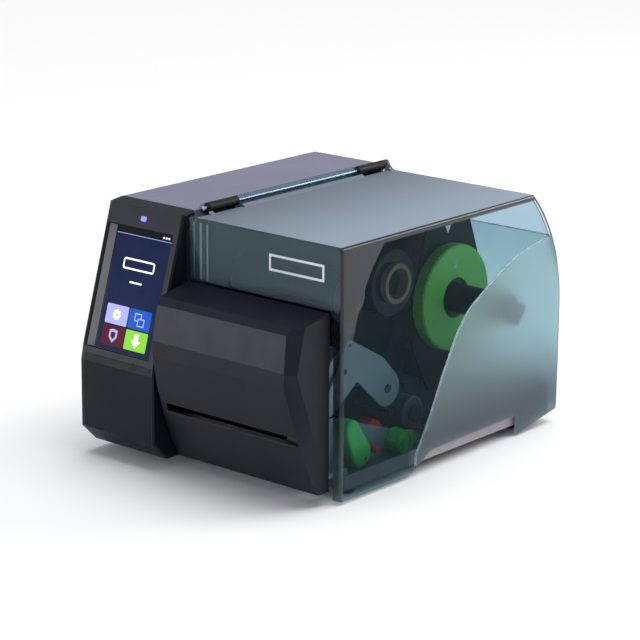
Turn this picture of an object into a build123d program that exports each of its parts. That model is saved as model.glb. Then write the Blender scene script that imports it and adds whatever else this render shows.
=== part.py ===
"""Desktop thermal-transfer label printer with a tilt-down cutter and a hinged clear cover.

The electronics stand in a narrow column on the left, behind a sloped touch display.
The print mechanism, ribbon spindles and roll holder hang on a wall beside it, under the cover.
Units are millimetres, +Z is up, -Y is the front, and the origin is on the table, mid-footprint.
Profiles are drawn from a datum: y counts back from the column's front top edge, z counts up
from the underside of the base pan.
"""
from build123d import *

import os
from math import atan2, cos, radians, sin, sqrt

os.makedirs("parts", exist_ok=True)

# ---- driving dimensions ----------------------------------------------------------------------
WIDTH = 253.0
LEFT, RIGHT = -WIDTH / 2, WIDTH / 2
COLUMN_WIDTH = 85.5
COLUMN_RIGHT = LEFT + COLUMN_WIDTH
FRONTMOST_Y = -43.0          # nose of the cutter, from the datum
REARMOST_Y = 302.0           # back of the cover
DATUM_Y = -(FRONTMOST_Y + REARMOST_Y) / 2
FOOT_HEIGHT = 9.0
SHEET = 1.5                  # folded housing
MOULD = 2.5                  # plastic wall
RUN_CLEARANCE = 0.05         # radial, shaft in bore
SEAM = 0.3

WALL_LEFT, WALL_RIGHT = -40.5, -38.5      # partition that carries the mechanism
WALL_TOP = 200.0
PAN_FRONT, PAN_BACK_LEFT, PAN_BACK_RIGHT = 14.0, 258.0, 292.0
PLATE_IN, PLATE_OUT = 88.5, 91.0          # outer side plate of the print mechanism

HINGE_X, HINGE_Z, HINGE_R = -37.0, 207.5, 4.2
HINGE_PIN_R = 1.6
COVER_TOP, COVER_FRONT, COVER_WALL, COVER_LEFT = 203.3, 3.5, 2.6, -37.5
CUTTER_LEFT, CUTTER_RIGHT = -38.0, 116.8
CUTTER_PIVOT = (-4.0, 8.0)
PLATEN_AXIS, PLATEN_R = (22.0, 38.0), 10.0
HEAD_PIVOT = (110.0, 57.0)
TAKEUP_AXIS, SUPPLY_AXIS = (65.4, 143.8), (126.3, 143.6)
ROLL_AXIS, AXLE_R = (241.0, 104.0), 13.0
DEFLECTOR_AXIS, DEFLECTOR_R = (148.0, 26.0), 14.6
LOCK_AXIS = (58.5, 16.5)
GUIDE_AXIS = (113.0, 13.0)
ADJUST_AXIS = (94.0, 18.5)
MOTOR_AXIS = (70.0, 38.0)


def side(x):
    """Sketch plane at x: across it y runs back, up it z runs up, and it faces +X."""
    return Plane(origin=(x, DATUM_Y, FOOT_HEIGHT), x_dir=(0, 1, 0), z_dir=(1, 0, 0))


def level(z):
    """Sketch plane at height z: x to the right, y to the back, facing up."""
    return Plane(origin=(0, DATUM_Y, FOOT_HEIGHT + z), x_dir=(1, 0, 0), z_dir=(0, 0, 1))


def face_on(y):
    """Sketch plane at depth y, seen from the front: x to the right, z up, facing -Y."""
    return Plane(origin=(0, DATUM_Y + y, FOOT_HEIGHT), x_dir=(1, 0, 0), z_dir=(0, -1, 0))


def span(low, high):
    """Length and middle of a stretch."""
    return high - low, (low + high) / 2


def bar(x_range, y_range, z_range):
    """Rectangular piece between three pairs of limits."""
    (length, x), (depth, y), (height, z) = span(*x_range), span(*y_range), span(*z_range)
    with BuildPart() as piece:
        with BuildSketch(level(z_range[0])):
            with Locations((x, y)):
                Rectangle(length, depth)
        extrude(amount=height)
    return piece.part


def rod(axis, radius, x_range):
    """Round bar along X about a (y, z) axis."""
    with BuildPart() as piece:
        with BuildSketch(side(x_range[0])):
            with Locations(axis):
                Circle(radius)
        extrude(amount=x_range[1] - x_range[0])
    return piece.part


def tube(axis, outer, inner, x_range):
    """Round tube along X about a (y, z) axis."""
    with BuildPart() as piece:
        with BuildSketch(side(x_range[0])):
            with Locations(axis):
                Circle(outer)
                Circle(inner, mode=Mode.SUBTRACT)
        extrude(amount=x_range[1] - x_range[0])
    return piece.part


def side_slab(points, x_range):
    """Outline in the side view, as thick as x_range."""
    with BuildPart() as piece:
        with BuildSketch(side(x_range[0])):
            with BuildLine():
                Polyline(*points, close=True)
            make_face()
        extrude(amount=x_range[1] - x_range[0])
    return piece.part


# ---- base pan and feet -------------------------------------------------------------------------
PAN_FLOOR = 2.0
PAN_LEFT, PAN_RIGHT = -122.4, 121.5
PAN_REAR_HEIGHT = 30.0         # the right half's rear flange stands up behind the roll
with BuildPart() as base_pan:
    with BuildSketch(level(0)):
        with BuildLine():
            Polyline(
                (PAN_LEFT, PAN_FRONT), (PAN_RIGHT, PAN_FRONT), (PAN_RIGHT, PAN_BACK_RIGHT),
                (WALL_LEFT, PAN_BACK_RIGHT), (WALL_LEFT, PAN_BACK_LEFT), (PAN_LEFT, PAN_BACK_LEFT),
                close=True,
            )
        make_face()
    extrude(amount=PAN_FLOOR)
    add(bar((PAN_RIGHT - 2, PAN_RIGHT), (PAN_FRONT, PAN_BACK_RIGHT), (0, 12)))
    add(bar((WALL_RIGHT, PAN_RIGHT), (PAN_BACK_RIGHT - 2, PAN_BACK_RIGHT), (0, PAN_REAR_HEIGHT)))
    add(bar((PAN_LEFT, PAN_LEFT + 2), (PAN_FRONT, PAN_BACK_LEFT), (0, 12)))
    add(bar((WALL_RIGHT + 4, PAN_RIGHT), (PAN_FRONT, PAN_FRONT + 2), (0, 10)))
    with BuildSketch(level(0)):
        with Locations((-92, 60)):
            with GridLocations(0, 6, 1, 8):
                SlotOverall(40, 3)
        with Locations((45, 190)):
            with GridLocations(0, 8, 1, 7):
                SlotOverall(60, 4)
    extrude(amount=PAN_FLOOR, mode=Mode.SUBTRACT)
base_pan.part.label = "base_pan"

FOOT_PLACES = [(-100, 34), (-100, 236), (104, 34), (104, 262)]
with BuildPart() as rubber_feet:
    with BuildSketch(level(-FOOT_HEIGHT)):
        with Locations(*FOOT_PLACES):
            Circle(9.5)
    extrude(amount=FOOT_HEIGHT)
    chamfer(rubber_feet.edges().group_by(Axis.Z)[0], 1.2)
    with BuildSketch(level(-FOOT_HEIGHT)):
        with Locations(*FOOT_PLACES):
            Circle(3.5)
    extrude(amount=3.0, mode=Mode.SUBTRACT)
rubber_feet.part.label = "rubber_feet"

# ---- partition wall ----------------------------------------------------------------------------
BUSH_R = 7.0
WALL_BORES = [
    (PLATEN_AXIS, BUSH_R), (TAKEUP_AXIS, 6.0), (SUPPLY_AXIS, 6.0), (HEAD_PIVOT, 4.0),
    (DEFLECTOR_AXIS, 4.0), (LOCK_AXIS, 5.0 + RUN_CLEARANCE), (GUIDE_AXIS, 3.0 + RUN_CLEARANCE),
]
with BuildPart() as partition_wall:
    with BuildSketch(side(WALL_LEFT)):
        with BuildLine():
            wall_back = Polyline((14.5, WALL_TOP), (3, 190), (3, PAN_FLOOR), (REARMOST_Y - 3, PAN_FLOOR),
                                 (REARMOST_Y - 1, 20), (REARMOST_Y - 1, 100))
            ThreePointArc(wall_back @ 1, (284.7, 166.5), (260.6, WALL_TOP))
            Line((260.6, WALL_TOP), (14.5, WALL_TOP))
        make_face()
        for axis, radius in WALL_BORES:
            with Locations(axis):
                Circle(radius, mode=Mode.SUBTRACT)
        with Locations((190, 60)):
            with GridLocations(16, 0, 4, 1):
                SlotOverall(44, 8, rotation=90, mode=Mode.SUBTRACT)
    extrude(amount=WALL_RIGHT - WALL_LEFT)
    add(bar((WALL_LEFT - 10, WALL_LEFT), (16, PAN_BACK_LEFT), (WALL_TOP - 2, WALL_TOP)))
    add(bar((WALL_LEFT - 10, WALL_LEFT), (96, PAN_BACK_LEFT), (PAN_FLOOR, PAN_FLOOR + 2)))
partition_wall.part.label = "partition_wall"

# ---- folded side and top cover -------------------------------------------------------------------
HOUSING_LEFT, HOUSING_RIGHT, HOUSING_TOP = LEFT + 2.4, -42.0, 206.6
HOUSING_FRONT, HOUSING_BACK = 13.8, 260.5
with BuildPart() as side_cover:
    with BuildSketch(face_on(HOUSING_BACK)):
        with BuildLine():
            Polyline(
                (HOUSING_LEFT, 0.4), (HOUSING_LEFT, HOUSING_TOP), (HOUSING_RIGHT, HOUSING_TOP),
                (HOUSING_RIGHT, WALL_TOP), (HOUSING_RIGHT - SHEET, WALL_TOP),
                (HOUSING_RIGHT - SHEET, HOUSING_TOP - SHEET),
                (HOUSING_LEFT + SHEET, HOUSING_TOP - SHEET), (HOUSING_LEFT + SHEET, 0.4),
                close=True,
            )
        make_face()
    extrude(amount=HOUSING_BACK - HOUSING_FRONT)
    fillet(side_cover.edges().filter_by(Axis.Y).group_by(Axis.Z)[-1], 1.2)
    with BuildSketch(side(HOUSING_LEFT)):
        with Locations((190, 46)):
            with GridLocations(7, 0, 12, 1):
                SlotOverall(36, 3.2, rotation=90)
    extrude(amount=SHEET, mode=Mode.SUBTRACT)
side_cover.part.label = "side_cover"

# ---- rear panel, mains inlet and sockets -----------------------------------------------------------
REAR_FACE = 259.9
INLET_X, INLET_LOW, INLET_HIGH = -98.0, 22.0, 76.0
SOCKET_Z, ROCKER_Z = 36.0, 62.0
PORT_X = (-61.0, -47.0)
PORT_HEIGHTS = [(64.0, 14.0), (88.0, 16.0), (112.0, 15.0)]
with BuildPart() as rear_panel:
    with BuildSketch(face_on(REAR_FACE)):
        with BuildLine():
            Polyline((-122.4, 2), (WALL_LEFT, 2), (WALL_LEFT, 199.8), (-43.8, 199.8), (-43.8, 204.9),
                     (-122.4, 204.9), close=True)
        make_face()
        with Locations((INLET_X, (INLET_LOW + INLET_HIGH) / 2)):
            Rectangle(28, 50, mode=Mode.SUBTRACT)
        for height, tall in PORT_HEIGHTS:
            with Locations(((PORT_X[0] + PORT_X[1]) / 2, height)):
                Rectangle(PORT_X[1] - PORT_X[0] + 0.6, tall + 0.6, mode=Mode.SUBTRACT)
        with Locations((-88, 160)):
            with GridLocations(8, 0, 6, 1):
                SlotOverall(46, 4, rotation=90, mode=Mode.SUBTRACT)
    extrude(amount=SHEET)
rear_panel.part.label = "rear_panel"

with BuildPart() as power_inlet:
    add(bar((INLET_X - 16, INLET_X + 16), (REAR_FACE, REAR_FACE + 2.4), (INLET_LOW, INLET_HIGH)))
    add(bar((INLET_X - 13.8, INLET_X + 13.8), (236, REAR_FACE), (24.2, 73.8)))
    with BuildSketch(face_on(REAR_FACE + 2.4)):
        with Locations((INLET_X, SOCKET_Z)):
            Rectangle(24, 16.4)
    extrude(amount=18, mode=Mode.SUBTRACT)
    with BuildSketch(face_on(REAR_FACE + 2.4 - 5.6)):
        with Locations((INLET_X - 7, SOCKET_Z - 1.5), (INLET_X, SOCKET_Z + 2.5), (INLET_X + 7, SOCKET_Z - 1.5)):
            Rectangle(2, 4)
    extrude(amount=12.4)
    with BuildSketch(face_on(REAR_FACE + 2.4)):
        with Locations((INLET_X, ROCKER_Z)):
            Rectangle(13.4, 21.6)
    extrude(amount=16, mode=Mode.SUBTRACT)
power_inlet.part.label = "power_inlet"

ROCKER_AXIS = (256.0, ROCKER_Z)
with BuildPart() as power_switch:
    with BuildSketch(side(INLET_X - 6.2)):
        with BuildLine():
            Polyline((252, ROCKER_Z - 7), (252, ROCKER_Z + 7), (262, ROCKER_Z + 8.6),
                     (265.2, ROCKER_Z + 8.2), (261.6, ROCKER_Z), (262.2, ROCKER_Z - 8.6), close=True)
        make_face()
    extrude(amount=12.4)
    add(rod(ROCKER_AXIS, 1.6, (INLET_X - 6.5, INLET_X + 6.5)))
power_switch.part.label = "power_switch"

with BuildPart() as rear_sockets:
    for height, tall in PORT_HEIGHTS:
        add(bar(PORT_X, (240, 261.2), (height - tall / 2, height + tall / 2)))
    for height, tall in PORT_HEIGHTS:
        with BuildSketch(face_on(261.2)):
            with Locations(((PORT_X[0] + PORT_X[1]) / 2, height)):
                Rectangle(PORT_X[1] - PORT_X[0] - 1.6, tall - 1.6)
        extrude(amount=10, mode=Mode.SUBTRACT)
rear_sockets.part.label = "rear_sockets"

with BuildPart() as case_screws:
    with BuildSketch(face_on(REAR_FACE + 2.0)):
        with Locations((-117, 12), (-117, 100), (-117, 196), (-48, 12), (-48, 196)):
            Circle(3)
    extrude(amount=2.0)
    fillet(case_screws.edges().group_by(Axis.Y)[-1], 0.8)
    with BuildSketch(face_on(REAR_FACE + 2.0)):
        with Locations((-117, 12), (-117, 100), (-117, 196), (-48, 12), (-48, 196)):
            Rectangle(3.6, 0.8)
            Rectangle(0.8, 3.6)
    extrude(amount=1.0, mode=Mode.SUBTRACT)
case_screws.part.label = "case_screws"

# ---- display column --------------------------------------------------------------------------------
SLOPE_TOP, SLOPE_KNEE = (0.0, 204.4), (-35.0, 89.5)
SLOPE_LENGTH = sqrt((SLOPE_KNEE[0] - SLOPE_TOP[0]) ** 2 + (SLOPE_KNEE[1] - SLOPE_TOP[1]) ** 2)
SLOPE_BACK = (SLOPE_TOP[0] - SLOPE_KNEE[0]) / SLOPE_LENGTH      # how far it leans back per mm
SLOPE_UP = (SLOPE_TOP[1] - SLOPE_KNEE[1]) / SLOPE_LENGTH
COLUMN_PROFILE = [(13.5, 206.2), SLOPE_TOP, SLOPE_KNEE, (-38.3, 74.2), (-38.6, 15.7), (-22.9, 0), (13.5, 0)]
COLUMN_HOLLOW = [(20, 203.6), (7.4, 203.0), (-27.6, 88.0), (-31.0, 74.0), (-31.3, 18.0), (-20.5, 3.0), (20, 3.0)]
SCREEN_X, SCREEN_S = (-115.2, -50.4), (17.6, 123.6)             # pocket, along the slope from its top
SCREEN_DEPTH, GLASS_THICK, LEDGE = 4.4, 1.8, 2.6
PANEL_X, PANEL_TOP = (-121.0, -43.6), 80.6


def slope(lift):
    """Sketch plane parallel to the sloped front, lifted out of it: x right, y up the slope."""
    return Plane(
        origin=(0, DATUM_Y + SLOPE_TOP[0] - lift * SLOPE_UP, FOOT_HEIGHT + SLOPE_TOP[1] + lift * SLOPE_BACK),
        x_dir=(1, 0, 0), z_dir=(0, -SLOPE_UP, SLOPE_BACK),
    )


def slope_block(x_range, s_range, lift_range):
    """Rectangular piece square to the sloped front; s counts down the slope."""
    (width, x), (length, s) = span(*x_range), span(*s_range)
    with BuildPart() as piece:
        with BuildSketch(slope(lift_range[0])):
            with Locations((x, -s)):
                Rectangle(width, length)
        extrude(amount=lift_range[1] - lift_range[0])
    return piece.part


def across_slope(s):
    """Sketch plane square to the sloped front, s down it: x right, y into the column."""
    return Plane(
        origin=(0, DATUM_Y + SLOPE_TOP[0] - s * SLOPE_BACK, FOOT_HEIGHT + SLOPE_TOP[1] - s * SLOPE_UP),
        x_dir=(1, 0, 0), z_dir=(0, SLOPE_BACK, SLOPE_UP),
    )


LIGHT_X, LIGHT_S = (-87.4, -80.6), (7.4, 11.8)
with BuildPart() as front_bezel:
    with BuildSketch(side(LEFT)):
        with BuildLine():
            Polyline(*COLUMN_PROFILE, close=True)
        make_face()
    extrude(amount=COLUMN_WIDTH)
    rims = front_bezel.faces().filter_by(Axis.X).edges()
    rims = rims.filter_by(lambda e: e.center().Y < DATUM_Y + 10 and e.center().Z > FOOT_HEIGHT + 0.5)
    chamfer(rims, 1.4)
    with BuildSketch(side(LEFT + MOULD)):
        with BuildLine():
            Polyline(*COLUMN_HOLLOW, close=True)
        make_face()
    extrude(amount=COLUMN_WIDTH - 2 * MOULD, mode=Mode.SUBTRACT)
    add(slope_block(SCREEN_X, SCREEN_S, (-SCREEN_DEPTH - GLASS_THICK, 6)), mode=Mode.SUBTRACT)
    add(slope_block((SCREEN_X[0] + LEDGE, SCREEN_X[1] - LEDGE), (SCREEN_S[0] + LEDGE, SCREEN_S[1] - LEDGE),
                    (-12, 0)), mode=Mode.SUBTRACT)
    add(slope_block(LIGHT_X, LIGHT_S, (-12, 6)), mode=Mode.SUBTRACT)
    with BuildSketch(across_slope(SCREEN_S[1])):
        with BuildLine():
            Polyline((SCREEN_X[0] - 8.8, 0), (SCREEN_X[0] - 8.8, -4), (SCREEN_X[0] + 0.2, -4),
                     (SCREEN_X[0] + 0.2, SCREEN_DEPTH), close=True)
        make_face()
        with BuildLine():
            Polyline((SCREEN_X[1] + 2.6, 0), (SCREEN_X[1] + 2.6, -4), (SCREEN_X[1] - 0.2, -4),
                     (SCREEN_X[1] - 0.2, SCREEN_DEPTH), close=True)
        make_face()
    extrude(amount=SCREEN_S[1] - SCREEN_S[0], mode=Mode.SUBTRACT)
    with BuildSketch(side(PANEL_X[0])):
        with BuildLine():
            Polyline((-45, PANEL_TOP), (-34.5, PANEL_TOP), (-36.1, 73.8), (-36.1, 16.7), (-26.9, 7.5),
                     (-28.9, 5.5), (-45, 5.5), close=True)
        make_face()
    extrude(amount=PANEL_X[1] - PANEL_X[0], mode=Mode.SUBTRACT)
front_bezel.part.label = "front_bezel"

with BuildPart() as lower_front_panel:
    with BuildSketch(side(PANEL_X[0] + SEAM)):
        with BuildLine():
            Polyline((-36.9, PANEL_TOP - SEAM), (-38.3, 74.2), (-38.6, 15.7), (-28.7, 5.8), (-27.1, 7.7),
                     (-36.1, 16.7), (-36.1, 73.8), (-34.6, PANEL_TOP - SEAM), close=True)
        make_face()
    extrude(amount=PANEL_X[1] - PANEL_X[0] - 2 * SEAM)
    fillet(lower_front_panel.edges().filter_by(Axis.X).group_by(Axis.Y)[0], 1.2)
lower_front_panel.part.label = "lower_front_panel"

with BuildPart() as display_glass:
    add(slope_block((SCREEN_X[0] + 0.2, SCREEN_X[1] - 0.2), (SCREEN_S[0] + 0.2, SCREEN_S[1] - 0.2),
                    (-SCREEN_DEPTH - GLASS_THICK, -SCREEN_DEPTH)))
display_glass.part.label = "display_glass"

MODULE_X = (SCREEN_X[0] + LEDGE + 0.4, SCREEN_X[1] - LEDGE - 0.4)
MODULE_S = (SCREEN_S[0] + LEDGE + 0.4, SCREEN_S[1] - LEDGE - 0.4)
BOARD_LIFT = -15.5
with BuildPart() as display_module:
    add(slope_block(MODULE_X, MODULE_S, (-11.5, -SCREEN_DEPTH - GLASS_THICK)))
    for x in (MODULE_X[0] + 4, MODULE_X[1] - 7):
        for s in (MODULE_S[0] + 8, MODULE_S[1] - 12):
            add(slope_block((x, x + 3), (s, s + 3), (BOARD_LIFT, -11.5)))
    add(slope_block((-110, -55), (26, 116), (BOARD_LIFT - 1.6, BOARD_LIFT)))
    add(slope_block((-96, -82), (60, 74), (BOARD_LIFT - 3.4, BOARD_LIFT - 1.6)))
display_module.part.label = "display_module"

with BuildPart() as status_light:
    add(slope_block(LIGHT_X, LIGHT_S, (-9, -0.2)))
    fillet(status_light.edges().filter_by(Axis((0, 0, 0), (0, -SLOPE_UP, SLOPE_BACK))), 1.6)
status_light.part.label = "status_light"

# ---- electronics -------------------------------------------------------------------------------
BOARD_X, BOARD_Y, BOARD_Z = (-47.0, -45.4), (98.0, 256.0), (58.0, 124.0)
CHIPS = [((110, 122), (66, 78)), ((130, 158), (88, 116)), ((170, 182), (64, 76)), ((196, 206), (96, 106))]
with BuildPart() as main_board:
    add(bar(BOARD_X, BOARD_Y, BOARD_Z))
    for y_range, z_range in CHIPS:
        add(bar((BOARD_X[0] - 3, BOARD_X[0]), y_range, z_range))
    for y in (166, 188, 224):
        add(rod((y, 112), 5, (BOARD_X[0] - 14, BOARD_X[0])))
    for y in (104, 232):
        for z in (66, 118):
            add(rod((y, z), 3, (BOARD_X[1], WALL_LEFT)))
main_board.part.label = "main_board"

with BuildPart() as power_supply:
    add(bar((-116, -64), (112, 226), (PAN_FLOOR, 44)))
    chamfer(power_supply.edges().filter_by(Axis.Y), 1.5)
    with BuildSketch(level(44)):
        with Locations((-90, 169)):
            with GridLocations(0, 7, 1, 11):
                SlotOverall(36, 3)
    extrude(amount=-4, mode=Mode.SUBTRACT)
power_supply.part.label = "power_supply"

# ---- platen drive --------------------------------------------------------------------------------
MOTOR_FACE = -60.0
BELT_X = (-52.8, -47.2)
PULLEY_X = (-54.0, -46.0)
PLATEN_PULLEY_R, MOTOR_PULLEY_R = 16.0, 8.0
BELT_GAP, BELT_THICK = 0.3, 1.4
POST_PLACES = [(MOTOR_AXIS[0] + dy, MOTOR_AXIS[1] + dz) for dy in (-17, 17) for dz in (-17, 17)]


def belt_outline(spare):
    """Solid outline of the belt loop, grown by spare from the pulleys."""
    with BuildPart() as piece:
        with BuildSketch(side(BELT_X[0])):
            with Locations(PLATEN_AXIS):
                Circle(PLATEN_PULLEY_R + spare)
            with Locations(MOTOR_AXIS):
                Circle(MOTOR_PULLEY_R + spare)
            make_hull()
        extrude(amount=BELT_X[1] - BELT_X[0])
    return piece.part


def toothed_pulley(axis, radius, bore, teeth):
    """Timing pulley with a groove per tooth and a flange on each side."""
    with BuildPart() as piece:
        add(tube(axis, radius, bore, PULLEY_X))
        with BuildSketch(side(PULLEY_X[0])):
            with Locations(axis):
                with PolarLocations(radius, teeth):
                    Circle(0.6)
        extrude(amount=PULLEY_X[1] - PULLEY_X[0], mode=Mode.SUBTRACT)
        add(tube(axis, radius + 2.2, bore, (PULLEY_X[0], PULLEY_X[0] + 0.9)))
        add(tube(axis, radius + 2.2, bore, (PULLEY_X[1] - 0.9, PULLEY_X[1])))
    return piece.part


with BuildPart() as motor_bracket:
    add(bar((MOTOR_FACE, MOTOR_FACE + 2.5), (47, 93), (PAN_FLOOR, 61)))
    add(rod(MOTOR_AXIS, 11.1, (MOTOR_FACE, MOTOR_FACE + 2.5)), mode=Mode.SUBTRACT)
    for place in POST_PLACES:
        add(rod(place, 3, (MOTOR_FACE + 2.5, WALL_LEFT)))
motor_bracket.part.label = "motor_bracket"

with BuildPart() as platen_motor:
    add(bar((MOTOR_FACE - 40, MOTOR_FACE), (49, 91), (17, 59)))
    chamfer(platen_motor.edges().filter_by(Axis.X), 4)
    add(rod(MOTOR_AXIS, 11, (MOTOR_FACE, MOTOR_FACE + 2)))
    add(rod(MOTOR_AXIS, 2.5 + RUN_CLEARANCE, (MOTOR_FACE - 12, MOTOR_FACE + 2)), mode=Mode.SUBTRACT)
platen_motor.part.label = "platen_motor"

with BuildPart() as motor_pulley:
    add(toothed_pulley(MOTOR_AXIS, MOTOR_PULLEY_R, 0.5, 16))
    add(rod(MOTOR_AXIS, 2.5, (MOTOR_FACE - 11.5, PULLEY_X[1] + 1)))
motor_pulley.part.label = "motor_pulley"

with BuildPart() as drive_belt:
    add(belt_outline(BELT_GAP + BELT_THICK))
    add(belt_outline(BELT_GAP), mode=Mode.SUBTRACT)
drive_belt.part.label = "drive_belt"

PLATEN_SHAFT_R = 4.0
with BuildPart() as platen_shaft:
    add(rod(PLATEN_AXIS, PLATEN_SHAFT_R, (PULLEY_X[0] - 2, PLATE_OUT + 2.5)))
    chamfer(platen_shaft.edges().group_by(Axis.X)[-1], 0.6)
platen_shaft.part.label = "platen_shaft"

with BuildPart() as platen_roller:
    add(tube(PLATEN_AXIS, PLATEN_R, PLATEN_SHAFT_R, (-33, 83)))
    chamfer(platen_roller.edges().filter_by(GeomType.CIRCLE).sort_by(SortBy.RADIUS)[-2:], 0.6)
platen_roller.part.label = "platen_roller"

with BuildPart() as platen_pulley:
    add(toothed_pulley(PLATEN_AXIS, PLATEN_PULLEY_R, PLATEN_SHAFT_R, 32))
platen_pulley.part.label = "platen_pulley"

with BuildPart() as platen_bushings:
    for inner_face, outer_face, lip in ((-42, -36.5, -38.5), (PLATE_IN - 2, PLATE_OUT + 0.5, PLATE_IN - 2)):
        add(tube(PLATEN_AXIS, BUSH_R, PLATEN_SHAFT_R + RUN_CLEARANCE, (inner_face, outer_face)))
        add(tube(PLATEN_AXIS, BUSH_R + 2, PLATEN_SHAFT_R + RUN_CLEARANCE, (lip, lip + 2)))
platen_bushings.part.label = "platen_bushings"

# ---- print mechanism frame ---------------------------------------------------------------------
ADJUST_AXLE_R = 3.0
LOCK_R, GUIDE_R = 5.0, 3.0
with BuildPart() as outer_side_plate:
    with BuildSketch(side(PLATE_IN)):
        with BuildLine():
            Polyline((8, 10.4), (8, 44), (14, 50), (32, 50), (47, 46), (116, 20), (140, 14), (150, 8),
                     (150, PAN_FLOOR), (16.4, PAN_FLOOR), (16.4, 10.4), close=True)
        make_face()
        with Locations(PLATEN_AXIS):
            Circle(BUSH_R, mode=Mode.SUBTRACT)
        with Locations(LOCK_AXIS):
            Circle(LOCK_R + RUN_CLEARANCE, mode=Mode.SUBTRACT)
        with Locations(GUIDE_AXIS):
            Circle(GUIDE_R + RUN_CLEARANCE, mode=Mode.SUBTRACT)
    extrude(amount=PLATE_OUT - PLATE_IN)
    for y_range in ((18, 44), (122, 146)):
        add(bar((PLATE_IN - 12, PLATE_IN), y_range, (PAN_FLOOR, PAN_FLOOR + 2)))
    add(rod(ADJUST_AXIS, ADJUST_AXLE_R, (PLATE_IN - 14, PLATE_IN)))
    add(rod(ADJUST_AXIS, ADJUST_AXLE_R + 2, (PLATE_IN - 15, PLATE_IN - 13)))
outer_side_plate.part.label = "outer_side_plate"

with BuildPart() as cross_shafts:
    add(rod(HEAD_PIVOT, 4, (WALL_LEFT, 88)))
    add(rod(DEFLECTOR_AXIS, 4, (WALL_LEFT, 86)))
    add(rod(DEFLECTOR_AXIS, 8, (85.5, 88)))
    add(rod((124, 31), 2.5, (WALL_RIGHT, 80)))
cross_shafts.part.label = "cross_shafts"

with BuildPart() as label_sensor:
    add(bar((WALL_RIGHT, PLATE_IN), (42, 48), (26, 30)))
    add(bar((0, 16), (38, 52), (30, 38)))
    add(bar((5, 11), (38, 52), (35, 38)), mode=Mode.SUBTRACT)
label_sensor.part.label = "label_sensor"

with BuildPart() as stop_pin:
    add(rod((80, 14), 4.2, (PLATE_OUT, PLATE_OUT + 3)))
    add(rod((80, 14), 3.0, (PLATE_OUT + 3, 102)))
    fillet(stop_pin.edges().group_by(Axis.X)[-1], 1.2)
stop_pin.part.label = "stop_pin"

with BuildPart() as adjust_wheel:
    with BuildSketch(side(PLATE_IN - 12)):
        with Locations(ADJUST_AXIS):
            Circle(14.4)
            with PolarLocations(14.4, 18):
                Circle(1.3, mode=Mode.SUBTRACT)
            Circle(ADJUST_AXLE_R + RUN_CLEARANCE, mode=Mode.SUBTRACT)
    extrude(amount=8)
adjust_wheel.part.label = "adjust_wheel"

# ---- head lock ---------------------------------------------------------------------------------
LEVER_X = (92.0, 103.0)
with BuildPart() as lock_shaft:
    add(rod(LOCK_AXIS, LOCK_R, (WALL_LEFT, LEVER_X[0])))
    for start in (-28, 74):
        with BuildSketch(side(start)):
            with Locations(LOCK_AXIS):
                Circle(7)
            with Locations((LOCK_AXIS[0] - 3, LOCK_AXIS[1] + 2)):
                Circle(5)
        extrude(amount=6)
lock_shaft.part.label = "lock_shaft"

with BuildPart() as lock_lever:
    with BuildSketch(side(LEVER_X[0])):
        with Locations(LOCK_AXIS):
            Circle(12.3)
        with Locations((47.5, 38.6)):
            Circle(8.6)
        make_hull()
    extrude(amount=LEVER_X[1] - LEVER_X[0])
    fillet(lock_lever.edges().group_by(Axis.X)[-1], 2.6)
lock_lever.part.label = "lock_lever"

# ---- media guide ---------------------------------------------------------------------------------
KNOB_R, KNOB_X = 10.2, (92.0, 105.5)
with BuildPart() as guide_screw:
    add(rod(GUIDE_AXIS, GUIDE_R, (WALL_LEFT - 4, KNOB_X[0])))
guide_screw.part.label = "guide_screw"

with BuildPart() as guide_knob:
    with BuildSketch(side(KNOB_X[0])):
        with Locations(GUIDE_AXIS):
            Circle(KNOB_R)
            with PolarLocations(KNOB_R + 0.5, 14):
                Circle(1.3, mode=Mode.SUBTRACT)
    extrude(amount=KNOB_X[1] - KNOB_X[0])
    add(tube(GUIDE_AXIS, 7.4, 3.6, (KNOB_X[1] - 2, KNOB_X[1])), mode=Mode.SUBTRACT)
    add(rod(GUIDE_AXIS, KNOB_R + 0.6, (KNOB_X[0], KNOB_X[0] + 1.6)))
guide_knob.part.label = "guide_knob"

GUIDE_PLATE_X = (38.0, 41.0)
with BuildPart() as media_guide:
    add(bar(GUIDE_PLATE_X, (94, 131), (5, 42)))
    chamfer(media_guide.edges().filter_by(Axis.X), 3)
    add(rod(GUIDE_AXIS, 6.5, (GUIDE_PLATE_X[0] - 8, GUIDE_PLATE_X[1] + 3)))
    add(rod((124, 31), 5, (GUIDE_PLATE_X[0] - 3, GUIDE_PLATE_X[1])))
    add(rod(GUIDE_AXIS, GUIDE_R + RUN_CLEARANCE, (0, 80)), mode=Mode.SUBTRACT)
    add(rod((124, 31), 2.5 + RUN_CLEARANCE, (0, 80)), mode=Mode.SUBTRACT)
media_guide.part.label = "media_guide"

with BuildPart() as deflection_roller:
    add(tube(DEFLECTOR_AXIS, DEFLECTOR_R, 4 + RUN_CLEARANCE, (-36, 85)))
    chamfer(deflection_roller.edges().filter_by(GeomType.CIRCLE).sort_by(SortBy.RADIUS)[-2:], 1)
deflection_roller.part.label = "deflection_roller"

with BuildPart() as media_chute:
    add(bar((WALL_RIGHT, 60), (166, 187), (42, 43.5)))
    add(side_slab([(166, 30), (166, 43.5), (187, 43.5), (186, 24)], (58.5, 60)))
media_chute.part.label = "media_chute"

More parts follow.
